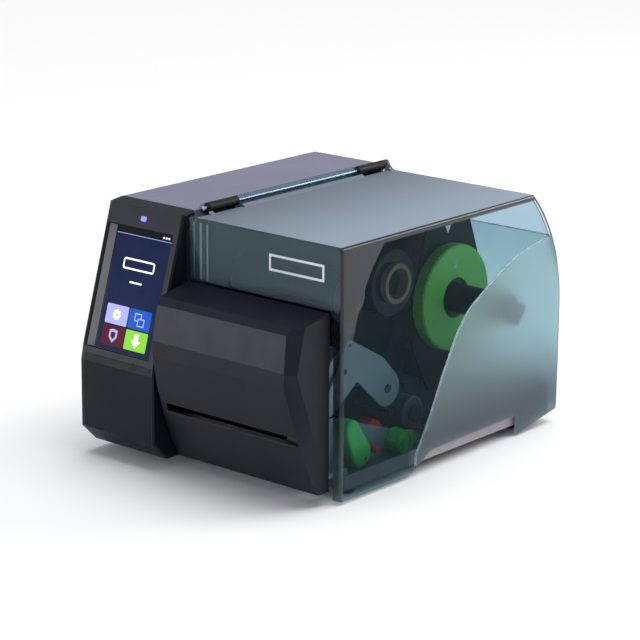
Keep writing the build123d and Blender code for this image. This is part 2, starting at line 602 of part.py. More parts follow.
# ---- print head unit -----------------------------------------------------------------------------
UPPER_LOBES = [((60, 105.2), 4.6), ((94, 74), 15), (HEAD_PIVOT, 15.2), ((71, 84), 9)]
FRONT_LOBES = [((60, 105.2), 4.6), ((71, 84), 9), ((36, 58), 8)]
HEAD_PLATES_X = ((-35.0, -32.5), (85.0, 87.5))
with BuildPart() as head_side_plates:
    for x_range in HEAD_PLATES_X:
        for lobes in (UPPER_LOBES, FRONT_LOBES):
            with BuildSketch(side(x_range[0])):
                for place, radius in lobes:
                    with Locations(place):
                        Circle(radius)
                make_hull()
            extrude(amount=x_range[1] - x_range[0])
        for place, radius in ((HEAD_PIVOT, 4 + RUN_CLEARANCE), ((60, 105.2), 1.8), ((54.3, 84), 2.4)):
            add(rod(place, radius, (x_range[0] - 1, x_range[1] + 1)), mode=Mode.SUBTRACT)
head_side_plates.part.label = "head_side_plates"

with BuildPart() as head_beam:
    add(side_slab([(30, 62), (42, 62), (46, 75), (62, 80), (62, 98), (52, 104), (40, 96), (30, 78)],
                  (HEAD_PLATES_X[0][1], HEAD_PLATES_X[1][0])))
    chamfer(head_beam.edges().filter_by(Axis.X).group_by(Axis.Z)[-1], 1)
head_beam.part.label = "head_beam"

with BuildPart() as print_head:
    add(bar((-32, 84), (14, 42), (50, 62)))
    add(bar((-32, 84), (18, 26), (48.4, 50)))
    with BuildSketch(side(-32)):
        with Locations((21, 62)):
            with GridLocations(4, 0, 3, 1):
                Rectangle(1.6, 10)
    extrude(amount=116, mode=Mode.SUBTRACT)
print_head.part.label = "print_head"

# ---- ribbon spindles -----------------------------------------------------------------------------
HUB_R, CORE_IN, CORE_OUT = 12.6, 13.2, 17.0
FILM_X, CORE_X = (-28.0, 79.0), (-31.0, 84.5)
DRIVE_R = 15.0


def spindle(axis):
    """Ribbed hub on a stub shaft that runs through the wall into its drive."""
    with BuildPart() as piece:
        add(rod(axis, HUB_R - 1.2, (-34, 76)))
        for turn in range(3):
            angle = radians(90 + 120 * turn)
            rib = (axis[0] + (HUB_R - 1.6) * cos(angle), axis[1] + (HUB_R - 1.6) * sin(angle))
            add(rod(rib, CORE_IN - HUB_R + 1.54, (-30, 70)))
        add(rod(axis, 18.5, (-35.5, -32)))
        add(rod(axis, 6 - RUN_CLEARANCE, (-58, -34)))
    return piece.part


with BuildPart() as takeup_hub:
    add(spindle(TAKEUP_AXIS))
takeup_hub.part.label = "takeup_hub"

with BuildPart() as supply_hub:
    add(spindle(SUPPLY_AXIS))
supply_hub.part.label = "supply_hub"

with BuildPart() as takeup_core:
    add(tube(TAKEUP_AXIS, CORE_OUT, CORE_IN, CORE_X))
takeup_core.part.label = "takeup_core"

with BuildPart() as supply_core:
    add(tube(SUPPLY_AXIS, CORE_OUT, CORE_IN, CORE_X))
supply_core.part.label = "supply_core"

with BuildPart() as takeup_ribbon:
    add(tube(TAKEUP_AXIS, 21.5, CORE_OUT, FILM_X))
takeup_ribbon.part.label = "takeup_ribbon"

with BuildPart() as supply_ribbon:
    add(tube(SUPPLY_AXIS, 28, CORE_OUT, FILM_X))
supply_ribbon.part.label = "supply_ribbon"

with BuildPart() as ribbon_drives:
    for axis in (TAKEUP_AXIS, SUPPLY_AXIS):
        add(rod(axis, 20, (-44, WALL_LEFT)))
        add(rod(axis, DRIVE_R, (-84, -44)))
    for axis in (TAKEUP_AXIS, SUPPLY_AXIS):
        add(rod(axis, 6, (-59, WALL_LEFT)), mode=Mode.SUBTRACT)
ribbon_drives.part.label = "ribbon_drives"

# ---- roll holder -----------------------------------------------------------------------------------
FLANGE_OUTLINE = [(222, 188), (260, 188), (274, 168), (285.5, 137), (287, 100), (266, 36), (244, 18), (219, 20),
                  (194.5, 67), (190.5, 100), (201, 130), (212, 168)]
STOP_X, SLEEVE_R, RING_R = (44.0, 46.2), 18.0, 47.3
RING_X = (46.6, 56.8)
AXLE_END = 121.0
with BuildPart() as roll_axle:
    add(tube(ROLL_AXIS, AXLE_R, AXLE_R - 2.8, (WALL_RIGHT, AXLE_END)))
    add(rod(ROLL_AXIS, AXLE_R - 2, (AXLE_END - 3, AXLE_END)))
    with BuildSketch(side(WALL_RIGHT + 6)):
        with Locations((ROLL_AXIS[0] + 8, ROLL_AXIS[1] + 9)):
            Rectangle(14, 9, rotation=-40)
    extrude(amount=200, mode=Mode.SUBTRACT)
    add(bar((WALL_RIGHT, AXLE_END - 2), (ROLL_AXIS[0] - 1, ROLL_AXIS[0] + 1), (ROLL_AXIS[1] - 11, ROLL_AXIS[1] + 3)))
    with BuildSketch(side(WALL_RIGHT)):
        with BuildLine():
            Polyline(*FLANGE_OUTLINE, close=True)
        make_face()
    extrude(amount=2.2)
roll_axle.part.label = "roll_axle"

with BuildPart() as margin_stop:
    with BuildSketch(side(STOP_X[0])):
        with BuildLine():
            Polyline(*FLANGE_OUTLINE, close=True)
        make_face()
    extrude(amount=STOP_X[1] - STOP_X[0])
    fillet(margin_stop.edges().filter_by(Axis.X), 6)
    add(rod(ROLL_AXIS, SLEEVE_R, (STOP_X[0], RING_X[1] - 0.4)))
    add(rod(ROLL_AXIS, AXLE_R + 0.1, (0, 100)), mode=Mode.SUBTRACT)
margin_stop.part.label = "margin_stop"

with BuildPart() as lock_ring:
    with BuildSketch(side(RING_X[0])):
        with Locations(ROLL_AXIS):
            Circle(RING_R)
            with PolarLocations(RING_R + 0.6, 72):
                Circle(1.4, mode=Mode.SUBTRACT)
            Circle(SLEEVE_R + 0.1, mode=Mode.SUBTRACT)
    extrude(amount=RING_X[1] - RING_X[0])
    add(tube(ROLL_AXIS, RING_R - 1.6, SLEEVE_R + 0.1, (RING_X[1], RING_X[1] + 0.8)))
lock_ring.part.label = "lock_ring"

# ---- hinged cover --------------------------------------------------------------------------------
REAR_ARC_CENTRE, REAR_ARC_R = (157.0, 100.0), 145.0
BARREL_Y = [(19.5, 24.0), (60.0, 217.0), (253.0, 258.4)]
BLOCK_Y = [(24.4, 59.6), (217.4, 252.6)]
BLOCK_NOTCH_X = -31.4
HEAD_OPENING_RIGHT, HEAD_OPENING_TOP = 117.8, 150.8


def cover_slab(inset, bottom, x_range):
    """Side view of the cover between two x limits, drawn inset from its outer skin."""
    radius = REAR_ARC_R - inset
    centre_y, centre_z = REAR_ARC_CENTRE
    top, front, back = COVER_TOP - inset, COVER_FRONT + inset, REARMOST_Y - inset
    corner = (centre_y + sqrt(radius ** 2 - (top - centre_z) ** 2), top)
    half_angle = atan2(corner[1] - centre_z, corner[0] - centre_y) / 2
    middle = (centre_y + radius * cos(half_angle), centre_z + radius * sin(half_angle))
    with BuildPart() as piece:
        with BuildSketch(side(x_range[0])):
            with BuildLine():
                ThreePointArc((back, centre_z), middle, corner)
                Polyline(corner, (front, top), *bottom, (back, centre_z))
            make_face()
        extrude(amount=x_range[1] - x_range[0])
    return piece.part


COVER_BOTTOM = [(COVER_FRONT, -6), (89.9, -6.7), (120.2, 9.1), (129.7, 9.6), (241.2, 10.6), (241.2, -6.3),
                (289.6, 1.5), (299, 3.3), (301.6, 19), (REARMOST_Y, 47)]
with BuildPart() as cover_shell:
    add(cover_slab(0, COVER_BOTTOM, (COVER_LEFT, RIGHT)))
    rim = cover_shell.faces().sort_by(Axis.X)[-1].edges().filter_by(
        lambda e: e.center().Z > FOOT_HEIGHT + 60 and e.center().Y > DATUM_Y + COVER_FRONT - 1)
    fillet(rim, 2.4)
    add(cover_slab(COVER_WALL, [(COVER_FRONT + COVER_WALL, -20), (REARMOST_Y - COVER_WALL, -20)],
                   (COVER_LEFT - 1, RIGHT - COVER_WALL)), mode=Mode.SUBTRACT)
    add(bar((COVER_LEFT - 1, HEAD_OPENING_RIGHT), (0, 20), (-20, HEAD_OPENING_TOP)), mode=Mode.SUBTRACT)
    for y_range in BLOCK_Y:
        add(bar((COVER_LEFT - 1, BLOCK_NOTCH_X), (y_range[0] - 0.4, y_range[1] + 0.4), (195, 210)),
            mode=Mode.SUBTRACT)
    for y_range in BARREL_Y:
        with BuildSketch(face_on(y_range[1])):
            with Locations((HINGE_X, HINGE_Z)):
                Circle(HINGE_R)
            with BuildLine():
                Polyline((HINGE_X - 0.5, 203.6), (-33.4, HINGE_Z), (-27, 203.3), (-27, 201.4),
                         (HINGE_X - 0.5, 201.4), close=True)
            make_face()
        extrude(amount=y_range[1] - y_range[0])
    with BuildSketch(face_on(BARREL_Y[-1][1])):
        with Locations((HINGE_X, HINGE_Z)):
            Circle(HINGE_PIN_R + RUN_CLEARANCE)
    extrude(amount=BARREL_Y[-1][1] - BARREL_Y[0][0], mode=Mode.SUBTRACT)
cover_shell.part.label = "cover_shell"

with BuildPart() as hinge_blocks:
    for y_range in BLOCK_Y:
        with BuildSketch(face_on(y_range[1])):
            with Locations((HINGE_X, HINGE_Z)):
                Circle(HINGE_R)
            with BuildLine():
                Polyline((-41, WALL_TOP), (-41, HINGE_Z), (HINGE_X, HINGE_Z), (-38.5, WALL_TOP), close=True)
            make_face()
            with Locations((HINGE_X, HINGE_Z)):
                Circle(HINGE_PIN_R, mode=Mode.SUBTRACT)
        extrude(amount=y_range[1] - y_range[0])
hinge_blocks.part.label = "hinge_blocks"

with BuildPart() as hinge_pin:
    with BuildSketch(face_on(BARREL_Y[-1][1] - 0.5)):
        with Locations((HINGE_X, HINGE_Z)):
            Circle(HINGE_PIN_R)
    extrude(amount=BARREL_Y[-1][1] - BARREL_Y[0][0] - 1)
hinge_pin.part.label = "hinge_pin"

# ---- tilt-down cutter ----------------------------------------------------------------------------
CUTTER_WALL = 2.5
CUTTER_OUTSIDE = [(0, 150), (-33, 143.5), (-36.5, 137), (FRONTMOST_Y, 108), (FRONTMOST_Y, 95), (-38.6, 70),
                  (-31, 43), (-20.6, 16), (-12.6, 2), (0, 2)]
CUTTER_INSIDE = [(5, 148.4), (-31.2, 141.1), (-34.2, 136), (-40.5, 107.6), (-40.5, 95.2), (-36.2, 70.6),
                 (-28.6, 43.8), (-18.2, 16.9), (-9.5, 0), (5, 0)]
CORNER_LINE = [(0, 116.6, -12.0, -2.0), (46, 115.2, -31.9, -18.0), (67, 111.5, -37.7, -24.0),
               (107, 107.2, -43.0, -38.6), (143, 107.2, -33.5, -30.0), (160, 107.2, -33.5, -30.0)]
EXIT_X, EXIT_LOW, EXIT_HIGH = (-30.0, 112.0), 46.2, 54.0
COVER_POSTS = [(-25, 78), (-25, 124), (98, 78), (98, 124)]
EAR_R, EAR_PIN_R = 5.5, 2.5
EAR_X = ((-30.7, -27.7), (106.7, 109.7))
BRACKET_X = ((-34.0, -31.0), (110.0, 113.0))


def corner_wedge(inset):
    """What the slanting front right corner takes off the cutter, moved inwards by inset."""
    with BuildPart() as piece:
        for height, front_x, front_y, side_y in CORNER_LINE:
            run_x, run_y = CUTTER_RIGHT - front_x, side_y - front_y
            length = sqrt(run_x ** 2 + run_y ** 2)
            shift_x, shift_y = -run_y / length * inset, run_x / length * inset
            start = (front_x - 1.5 * run_x + shift_x, front_y - 1.5 * run_y + shift_y)
            end = (CUTTER_RIGHT + run_x + shift_x, side_y + run_y + shift_y)
            with BuildSketch(level(height)):
                with BuildLine():
                    Polyline(start, end, (140, -80), close=True)
                make_face()
        loft(ruled=True)
    return piece.part


with BuildPart() as cutter_cavity:
    add(side_slab(CUTTER_INSIDE, (CUTTER_LEFT + CUTTER_WALL, CUTTER_RIGHT - CUTTER_WALL)))
    add(corner_wedge(CUTTER_WALL), mode=Mode.SUBTRACT)

with BuildPart() as cutter_cover:
    add(side_slab(CUTTER_OUTSIDE, (CUTTER_LEFT, CUTTER_RIGHT)))
    left_rim = cutter_cover.faces().sort_by(Axis.X)[0].edges().filter_by(lambda e: e.center().Y < DATUM_Y - 8)
    chamfer(left_rim, 2)
    add(corner_wedge(0), mode=Mode.SUBTRACT)
    add(cutter_cavity.part, mode=Mode.SUBTRACT)
    with BuildSketch(face_on(-2.5)):
        with Locations(*COVER_POSTS):
            Circle(3)
    extrude(amount=35.5)
    add(bar(EXIT_X, (-45, -20), (EXIT_LOW, EXIT_HIGH)), mode=Mode.SUBTRACT)
cutter_cover.part.label = "cutter_cover"

TEAR_PITCH = 2.0
TEETH = int((EXIT_X[1] - EXIT_X[0]) / TEAR_PITCH) - 1
with BuildPart() as tear_strip:
    add(bar((EXIT_X[0] + 0.5, EXIT_X[1] - 0.5), (-34.2, -27.4), (EXIT_LOW, EXIT_LOW + 1.5)))
    with BuildSketch(level(EXIT_LOW)):
        with Locations(((EXIT_X[0] + EXIT_X[1]) / 2, -34.2)):
            with GridLocations(TEAR_PITCH, 0, TEETH, 1):
                Rectangle(1.2, 1.2, rotation=45)
    extrude(amount=1.5, mode=Mode.SUBTRACT)
tear_strip.part.label = "tear_strip"

with BuildPart() as cutter_frame:
    add(bar((-35, 113.8), (-2.5, 0), (17, 146)))
    add(bar((-30, 90), (-4, 2), (45, 58)), mode=Mode.SUBTRACT)
    add(bar((-34, -31), (-30, -2.5), (100, 118)))
    for x_range in EAR_X:
        add(rod(CUTTER_PIVOT, EAR_R, x_range))
        add(bar(x_range, (-8, 0), (8, 30)))
        add(rod(CUTTER_PIVOT, EAR_PIN_R + RUN_CLEARANCE, x_range), mode=Mode.SUBTRACT)
    with BuildSketch(face_on(0)):
        with Locations((36, 110)):
            with GridLocations(42, 0, 3, 1):
                RectangleRounded(28, 40, 4)
    extrude(amount=4, mode=Mode.SUBTRACT)
cutter_frame.part.label = "cutter_frame"

with BuildPart() as fixed_blade:
    add(side_slab([(-2.5, 43), (-14, 43), (-15, 48), (-13.5, 48), (-11, 45), (-2.5, 45)], (-29, 89)))
fixed_blade.part.label = "fixed_blade"

BLADE_AXIS, BLADE_R = (-14.5, 56.0), 7.0
BLADE_JOURNAL_R = 3.0
with BuildPart() as blade_bearings:
    for x_range in ((-33.5, -30.5), (91.5, 94.5)):
        add(bar(x_range, (-22, -2.5), (48, 64)))
        add(rod(BLADE_AXIS, BLADE_JOURNAL_R + RUN_CLEARANCE, x_range), mode=Mode.SUBTRACT)
blade_bearings.part.label = "blade_bearings"

with BuildPart() as rotary_blade:
    add(rod(BLADE_AXIS, BLADE_R, (-29.5, 90.5)))
    add(bar((-30, 91), (-22, -16), (40, 72)), mode=Mode.SUBTRACT)
    add(rod(BLADE_AXIS, BLADE_JOURNAL_R, (-33.5, 96)))
rotary_blade.part.label = "rotary_blade"

with BuildPart() as cutter_motor:
    add(bar((96.2, 109), (-27, -2.5), (44, 68)))
    chamfer(cutter_motor.edges().filter_by(Axis.X), 3)
cutter_motor.part.label = "cutter_motor"

with BuildPart() as cutter_brackets:
    for x_range, foot_x in zip(BRACKET_X, ((-34.0, -24.0), (100.0, 113.0))):
        add(rod(CUTTER_PIVOT, EAR_R, x_range))
        add(side_slab([(-4, 13.5), (28, 13.5), (28, PAN_FLOOR), (17, PAN_FLOOR), (17, 10.4), (1, 10.4), (0, 6)],
                      x_range))
        add(bar(foot_x, (18, 28), (PAN_FLOOR, PAN_FLOOR + 1.5)))
    for x_range in ((-35.2, -27.4), (106.4, 114.0)):
        add(rod(CUTTER_PIVOT, EAR_PIN_R, x_range))
cutter_brackets.part.label = "cutter_brackets"

# ---- files ---------------------------------------------------------------------------------------
PIECES = [
    base_pan, rubber_feet, partition_wall, side_cover, rear_panel, power_inlet, power_switch, rear_sockets,
    case_screws, front_bezel, lower_front_panel, display_glass, display_module, status_light, main_board,
    power_supply, motor_bracket, platen_motor, motor_pulley, drive_belt, platen_shaft, platen_roller,
    platen_pulley, platen_bushings, outer_side_plate, cross_shafts, label_sensor, stop_pin, adjust_wheel,
    lock_shaft, lock_lever, guide_screw, guide_knob, media_guide, deflection_roller, media_chute,
    head_side_plates, head_beam, print_head, takeup_hub, supply_hub, takeup_core, supply_core,
    takeup_ribbon, supply_ribbon, ribbon_drives, roll_axle, margin_stop, lock_ring, cover_shell,
    hinge_blocks, hinge_pin, cutter_cover, tear_strip, cutter_frame, fixed_blade, blade_bearings,
    rotary_blade, cutter_motor, cutter_brackets,
]
for piece in PIECES:
    export_step(piece.part, f"parts/{piece.part.label}.step")
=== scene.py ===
"""Looks for the desktop label printer: materials, display picture, small trim, lights and camera."""

import math

import bmesh
import bpy
from mathutils import Matrix, Vector


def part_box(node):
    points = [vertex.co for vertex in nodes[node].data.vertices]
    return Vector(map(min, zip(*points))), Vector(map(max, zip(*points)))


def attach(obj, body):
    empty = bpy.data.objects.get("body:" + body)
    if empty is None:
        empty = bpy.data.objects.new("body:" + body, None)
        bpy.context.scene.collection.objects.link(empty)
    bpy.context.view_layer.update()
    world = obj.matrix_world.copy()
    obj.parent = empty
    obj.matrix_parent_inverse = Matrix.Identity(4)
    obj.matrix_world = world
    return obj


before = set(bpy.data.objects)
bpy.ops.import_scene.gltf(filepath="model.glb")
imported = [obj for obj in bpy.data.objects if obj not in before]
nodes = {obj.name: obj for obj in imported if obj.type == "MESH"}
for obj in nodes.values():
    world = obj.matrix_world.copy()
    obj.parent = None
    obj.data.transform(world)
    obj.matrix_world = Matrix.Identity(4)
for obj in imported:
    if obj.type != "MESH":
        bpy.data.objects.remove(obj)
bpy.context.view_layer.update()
scene = bpy.context.scene
MM = 0.001
# places in mm are given from the datum: x from the middle, y back from the column's front top edge, z up from
# the base pan's underside; the datum lies here in the frame
DATUM_Y, DATUM_Z = -0.1295, 0.009


# ---- shader nodes --------------------------------------------------------------------------------
# the Mix node's colour sockets, which share their names with its sockets of other kinds
MIX_FIRST, MIX_SECOND, MIX_RESULT = 6, 7, 2


def node(tree, kind, **inputs):
    """A shader node with the given socket values; spaces in socket names are written as underscores."""
    made = tree.nodes.new(kind)
    for name, value in inputs.items():
        made.inputs[name.replace("_", " ")].default_value = value
    return made


def noise(tree, where, scale, detail=3.0, stretch=(1, 1, 1)):
    """Noise value over the object, stretched along an axis where a stretch is given."""
    mapping = tree.nodes.new("ShaderNodeMapping")
    mapping.inputs["Scale"].default_value = stretch
    tree.links.new(where, mapping.inputs["Vector"])
    made = node(tree, "ShaderNodeTexNoise", Scale=scale, Detail=detail)
    tree.links.new(mapping.outputs["Vector"], made.inputs["Vector"])
    return made.outputs["Fac"]


def remap(tree, value, low, high, start=0.3, end=0.7):
    """Value from start..end moved to low..high."""
    made = node(tree, "ShaderNodeMapRange", From_Min=start, From_Max=end, To_Min=low, To_Max=high)
    tree.links.new(value, made.inputs["Value"])
    return made.outputs["Result"]


def smooth_step(tree, value, low, high):
    """0 below low, 1 above high, eased between."""
    made = node(tree, "ShaderNodeMapRange", From_Min=low, From_Max=high, To_Min=0.0, To_Max=1.0)
    made.interpolation_type = "SMOOTHSTEP"
    tree.links.new(value, made.inputs["Value"])
    return made.outputs["Result"]


def two_tone(tree, value, first, second):
    """Colour that runs from first to second with value; each is a colour or a colour socket."""
    made = tree.nodes.new("ShaderNodeMix")
    made.data_type = "RGBA"
    tree.links.new(value, made.inputs[0])
    for slot, tone in ((MIX_FIRST, first), (MIX_SECOND, second)):
        if isinstance(tone, bpy.types.NodeSocket):
            tree.links.new(tone, made.inputs[slot])
        else:
            made.inputs[slot].default_value = (*tone, 1)
    return made.outputs[MIX_RESULT]


def math_node(tree, operation, first, second):
    """Two values, each a socket or a number, put through one operation."""
    made = tree.nodes.new("ShaderNodeMath")
    made.operation = operation
    for slot, value in enumerate((first, second)):
        if isinstance(value, bpy.types.NodeSocket):
            tree.links.new(value, made.inputs[slot])
        else:
            made.inputs[slot].default_value = value
    return made.outputs[0]


def both(tree, first, second):
    """Product of two zones: where both are."""
    return math_node(tree, "MULTIPLY", first, second)


def either(tree, first, second):
    """The larger of two zones: where one or the other is."""
    return math_node(tree, "MAXIMUM", first, second)


def without(tree, first, second):
    """The first zone with the second cut out of it."""
    return either(tree, math_node(tree, "SUBTRACT", first, second), 0.0)


def split(tree, vector):
    """X, Y and Z of a vector socket."""
    made = tree.nodes.new("ShaderNodeSeparateXYZ")
    tree.links.new(vector, made.inputs[0])
    return made.outputs


def object_place(tree):
    """Place on the object, in its own metres."""
    return tree.nodes.new("ShaderNodeTexCoord").outputs["Object"]


# ---- solid finishes ------------------------------------------------------------------------------
PATCH_SCALE = 22.0
MARK_SCALE, MARK_DETAIL, MARK_STRETCH = 70.0, 6.0, (1, 0.35, 1)
LEAST_ROUGH = 0.04
GRAIN_DETAIL, GRAIN_DEPTH = 2.0, 0.0003


def surface(name, color, rough=0.5, metallic=0.0, grain=900.0, bump=0.1, swing=0.12, stretch=(1, 1, 1),
            specular=0.5, glow=0.0, patch=0.05):
    """Everyday solid finish: fine grain, faint patches in the colour and handling marks in the gloss."""
    made = bpy.data.materials.new(name)
    made.use_nodes = True
    tree = made.node_tree
    shader = tree.nodes["Principled BSDF"]
    where = object_place(tree)
    patches = noise(tree, where, PATCH_SCALE)
    dark = [c * (1 - swing) for c in color]
    light = [min(1, c * (1 + swing)) for c in color]
    tone = two_tone(tree, remap(tree, patches, 0, 1), dark, light)
    tree.links.new(tone, shader.inputs["Base Color"])
    marks = noise(tree, where, MARK_SCALE, MARK_DETAIL, MARK_STRETCH)
    roughness = remap(tree, marks, max(LEAST_ROUGH, rough - patch), min(1, rough + patch))
    tree.links.new(roughness, shader.inputs["Roughness"])
    bumps = node(tree, "ShaderNodeBump", Strength=bump, Distance=GRAIN_DEPTH)
    tree.links.new(noise(tree, where, grain, GRAIN_DETAIL, stretch), bumps.inputs["Height"])
    tree.links.new(bumps.outputs["Normal"], shader.inputs["Normal"])
    shader.inputs["Metallic"].default_value = metallic
    shader.inputs["Specular IOR Level"].default_value = specular
    if glow:
        tree.links.new(tone, shader.inputs["Emission Color"])
        shader.inputs["Emission Strength"].default_value = glow
    return made


# painted and moulded case
SHEET_TOP = surface("housing_paint", (0.175, 0.178, 0.262), 0.5, grain=1500, bump=0.25, swing=0.05)
DARK_SHELL = surface("dark_shell", (0.0085, 0.0100, 0.0155), 0.40, grain=2200, bump=0.22, swing=0.15,
                     specular=0.16, patch=0.025)
DARK_PANEL = surface("dark_panel", (0.0075, 0.0090, 0.0130), 0.42, grain=2200, bump=0.12, swing=0.15,
                     specular=0.1)
BLACK = surface("black_plastic", (0.006, 0.006, 0.007), 0.45, grain=1800, bump=0.08, specular=0.2)
MECHANISM = surface("mechanism_paint", (0.155, 0.185, 0.200), 0.45, grain=1300, bump=0.15, swing=0.08)
DARK_PAINT = surface("dark_paint", (0.014, 0.016, 0.024), 0.5, grain=1500, bump=0.1, swing=0.08,
                     specular=0.25)
# metals
ZINC = surface("zinc_steel", (0.5, 0.5, 0.52), 0.35, 0.9, grain=500, bump=0.1, stretch=(1, 8, 1))
SHAFT = surface("ground_steel", (0.55, 0.56, 0.58), 0.28, 1.0, grain=900, bump=0.08, stretch=(12, 1, 1))
BLADE = surface("blade_steel", (0.5, 0.5, 0.52), 0.3, 1.0, grain=900, bump=0.08, stretch=(1, 14, 14))
TEETH = surface("blackened_steel", (0.010, 0.0105, 0.013), 0.5, 0.2, grain=900, bump=0.6,
                stretch=(1, 0.2, 0.2))
SOCKET = surface("socket_metal", (0.45, 0.45, 0.46), 0.35, 0.9, grain=700, bump=0.1)
CAST = surface("cast_alloy", (0.16, 0.19, 0.21), 0.5, 0.3, grain=600, bump=0.3)
MOTOR = surface("motor_black", (0.02, 0.02, 0.022), 0.45, 0.2, grain=800, bump=0.15)
# rubber and plastic pieces of the mechanism
RUBBER = surface("rubber", (0.016, 0.016, 0.017), 0.75, grain=1400, bump=0.35)
PLATEN = surface("platen_rubber", (0.03, 0.03, 0.032), 0.6, grain=1600, bump=0.2, stretch=(1, 4, 4))
GREY = surface("grey_plastic", (0.035, 0.045, 0.055), 0.45, grain=1500, bump=0.12)
GREEN = surface("green_plastic", (0.022, 0.40, 0.055), 0.35, grain=1500, bump=0.1, swing=0.06)
RING_GREEN = surface("ring_green", (0.17, 0.52, 0.07), 0.45, grain=1500, bump=0.1, swing=0.06)
RED = surface("red_plastic", (0.50, 0.018, 0.012), 0.35, grain=1500, bump=0.1)
# boards, ribbon and display
BOARD = surface("solder_mask", (0.012, 0.09, 0.04), 0.35, grain=400, bump=0.1)
CORE = surface("wound_board", (0.20, 0.135, 0.092), 0.8, grain=700, bump=0.4, stretch=(10, 1, 1))
FILM = surface("ribbon_film", (0.006, 0.006, 0.008), 0.22, grain=300, bump=0.08, stretch=(14, 1, 1),
               specular=0.15)
GLASS = surface("display_glass", (0.002, 0.003, 0.008), 0.12, grain=200, bump=0.0, swing=0.02, specular=0.1)
LIGHT = surface("light_lens", (0.13, 0.13, 0.62), 0.3, grain=900, bump=0.05, glow=0.9)


# ---- the clear cover's material ------------------------------------------------------------------
# the frosted band's upper edge on the right wall: y and z in mm
FROST_EDGE = [(100, 8), (118, 36), (140, 78), (166, 116), (193, 133.5), (239, 155), (280, 163), (310, 165)]
# height in metres that the edge's curve calls 1, and the mm over which the frosting fades in
FROST_SPAN, FROST_BLUR = 0.25, 1.2
# where each step over the cover begins and is complete, in mm along one axis
COVER_STEPS = {
    "band": ("y", 100, 102),
    "right_wall": ("x", 118, 123.5),
    "rear_wall": ("y", 280, 284),
    "smoked_start": ("y", 254, 258),
    "smoked_end": ("x", 4, 8),
    "rear_edge": ("z", 110, 150),
    "top_edge": ("z", 198.2, 199.0),
    "edge_side": ("x", 123.0, 124.0),
    "top": ("z", 201.8, 202.4),
    "off_barrel": ("x", -31.2, -30.2),
    "top_side": ("x", 123.8, 124.8),
    "off_front": ("y", 4.2, 5.0),
    "past_front": ("y", 6.2, 7.2),
    "above_post": ("z", 140, 160),
    # painted shade: the frosted band's colour darkens below this height
    "frost_shade_height": ("z", 4, 80),
    # painted light: the top's colour lightens to the right across this width
    "top_light_falloff": ("x", -40, 130),
    "post_height": ("z", 20, 80),
}
# the rounded rear edge: its arc's centre, and the radii between which the dark rim begins, in mm
REAR_ARC_CENTRE = (125, 157, 100)
RIM_START, RIM_FULL = 140.5, 142.5
# how solid each zone's tinted plastic is, where 0 is clear; seen edge-on it turns solid too, as the edge-on
# value goes from SOLID_START to SOLID_FULL
FRONT_HAZE, SMOKED_HAZE, POST_HAZE, MOST_SOLID = 0.34, 0.9, 0.62, 0.97
SOLID_START, SOLID_FULL = 0.05, 0.75
# pairs of tones; a zone's colour runs from the first to the second, by cloudy noise, height, width or angle
# painted shade: the frosted band gets lit tones high up and shaded tones low down
FROST_LIT_TONES = ((0.50, 0.72, 0.78), (0.57, 0.78, 0.84))
FROST_SHADED_TONES = ((0.15, 0.24, 0.28), (0.19, 0.29, 0.33))
# painted light: the top is darker on the left and lighter on the right
TOP_LIGHT_FALLOFF_TONES = ((0.13, 0.16, 0.21), (0.25, 0.32, 0.40))
HAZE_TONES = ((0.05, 0.10, 0.12), (0.08, 0.15, 0.17))
POST_TONES = ((0.05, 0.09, 0.10), (0.008, 0.013, 0.017))
CLEAR_TINTS = ((0.80, 0.875, 0.91), (0.22, 0.36, 0.42))
# Facing values between which the plastic turns from seen square-on to seen edge-on
FACING_BLEND, EDGE_ON_START, EDGE_ON_FULL = 0.35, 0.42, 0.95
CLOUD_SCALE, SPECKLE_SCALE, SPECKLE_DETAIL = 14.0, 1500.0, 2.0
SPECKLE_BUMP, SPECKLE_DEPTH = 0.15, 0.0002
GLOSSY, SATIN = 0.10, 0.5
ACRYLIC_IOR = 1.49


def frost_line(tree, y):
    """Height of the boundary between the clear window and the frosted band, at depth y."""
    curve = tree.nodes.new("ShaderNodeFloatCurve")
    first, last = FROST_EDGE[0][0], FROST_EDGE[-1][0]
    depth_share = remap(tree, y, 0, 1, DATUM_Y + first * MM, DATUM_Y + last * MM)
    tree.links.new(depth_share, curve.inputs["Value"])
    points = curve.mapping.curves[0].points
    places = [((a - first) / (last - first), (DATUM_Z + b * MM) / FROST_SPAN) for a, b in FROST_EDGE]
    points[0].location, points[1].location = places[0], places[-1]
    for place in places[1:-1]:
        points.new(*place)
    curve.mapping.update()
    return both(tree, curve.outputs["Value"], FROST_SPAN)


def cover_steps(tree, x, y, z):
    """The steps of COVER_STEPS, each a value from 0 to 1."""
    along = {"x": (x, 0.0), "y": (y, DATUM_Y), "z": (z, DATUM_Z)}
    steps = {}
    for name, (axis, low, high) in COVER_STEPS.items():
        value, datum = along[axis]
        steps[name] = smooth_step(tree, value, datum + low * MM, datum + high * MM)
    return steps


def cover_rim(tree, where, step):
    """Dark rim of the right wall, along its top and its rounded rear edge."""
    reach = tree.nodes.new("ShaderNodeVectorMath")
    reach.operation = "DISTANCE"
    x, y, z = REAR_ARC_CENTRE
    reach.inputs[1].default_value = (x * MM, DATUM_Y + y * MM, DATUM_Z + z * MM)
    tree.links.new(where, reach.inputs[0])
    outer = smooth_step(tree, reach.outputs["Value"], RIM_START * MM, RIM_FULL * MM)
    rear_edge = both(tree, outer, step["rear_edge"])
    return both(tree, either(tree, rear_edge, step["top_edge"]), step["edge_side"])


